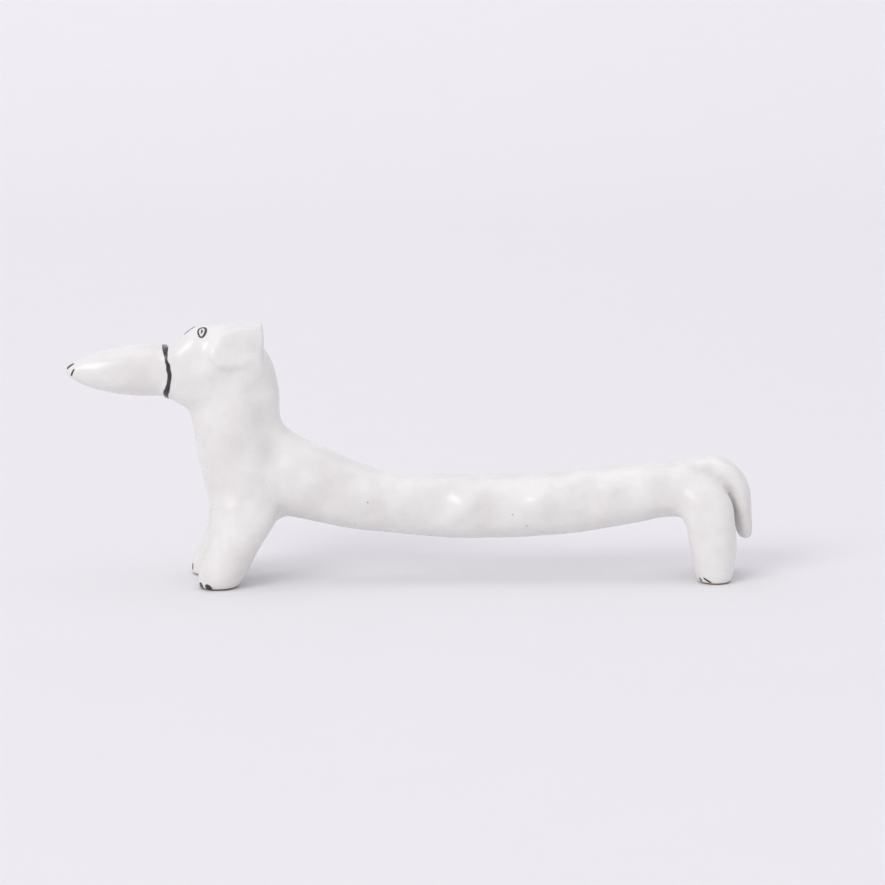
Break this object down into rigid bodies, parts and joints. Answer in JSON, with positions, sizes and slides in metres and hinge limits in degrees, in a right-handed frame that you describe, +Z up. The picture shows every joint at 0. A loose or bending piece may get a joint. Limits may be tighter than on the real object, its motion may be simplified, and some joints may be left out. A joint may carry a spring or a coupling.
{
  "type": "dog figurine",
  "caption": "Small hand-rolled white glazed ceramic sausage dog with a cone snout, drop ears, flat tail and painted black eyes, muzzle line and toes, standing on bare clay feet.",
  "frame": {"origin": "on the standing surface, under the middle of the whole figure", "axes": "+Z up, nose to -X, the dog's left side to -Y"},
  "size_m": [0.1498, 0.0238, 0.0565],
  "materials": {
    "white_glaze": "glossy white glaze over pale clay",
    "black_brushwork": "black brush lines under the gloss",
    "bare_clay": "matt unglazed reddish-brown clay"
  },
  "bodies": {
    "root": {"trunk": "white_glaze", "chest_and_neck": "white_glaze", "head": "white_glaze", "snout": "white_glaze", "left_ear": "white_glaze", "right_ear": "white_glaze", "front_left_leg": "white_glaze", "front_right_leg": "white_glaze", "rear_left_leg": "white_glaze", "rear_right_leg": "white_glaze", "tail": "white_glaze", "muzzle_band": "black_brushwork", "left_eye_ring": "black_brushwork", "right_eye_ring": "black_brushwork", "left_pupil": "black_brushwork", "right_pupil": "black_brushwork", "left_nostril": "black_brushwork", "right_nostril": "black_brushwork", "front_left_inner_toe_line": "black_brushwork", "front_left_outer_toe_line": "black_brushwork", "front_right_inner_toe_line": "black_brushwork", "front_right_outer_toe_line": "black_brushwork", "rear_left_inner_toe_line": "black_brushwork", "rear_left_outer_toe_line": "black_brushwork", "rear_right_inner_toe_line": "black_brushwork", "rear_right_outer_toe_line": "black_brushwork", "front_left_sole": "bare_clay", "front_right_sole": "bare_clay", "rear_left_sole": "bare_clay", "rear_right_sole": "bare_clay"}
  },
  "joints": []
}
